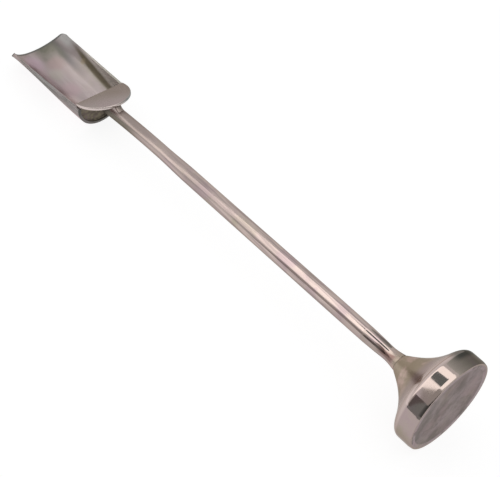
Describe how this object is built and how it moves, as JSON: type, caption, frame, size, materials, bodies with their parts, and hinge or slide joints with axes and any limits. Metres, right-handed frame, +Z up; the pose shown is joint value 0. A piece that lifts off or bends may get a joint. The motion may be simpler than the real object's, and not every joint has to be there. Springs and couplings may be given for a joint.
{
  "type": "cheese scoop",
  "caption": "Long-handled cheese scoop: half-round blade with flared mouth, tilted guard plate, round stem and a trumpet-shaped foot.",
  "frame": {"origin": "middle of the bounding box in X and Y, on the plane the scoop lies on", "axes": "+X from the blade's mouth to the foot, +Z up with the blade's hollow facing up"},
  "size_m": [0.2332, 0.0386, 0.0387],
  "materials": {
    "silver": "polished, slightly tarnished",
    "dull_silver": "dull, worn"
  },
  "bodies": {
    "root": {"scoop_blade": "silver", "blade_end_wall": "silver", "guard_plate": "silver", "blade_arm": "silver", "stem_tube": "silver", "neck_collar": "silver", "foot_shell": "silver", "foot_rim_ring": "silver", "base_disc": "dull_silver"}
  },
  "joints": []
}
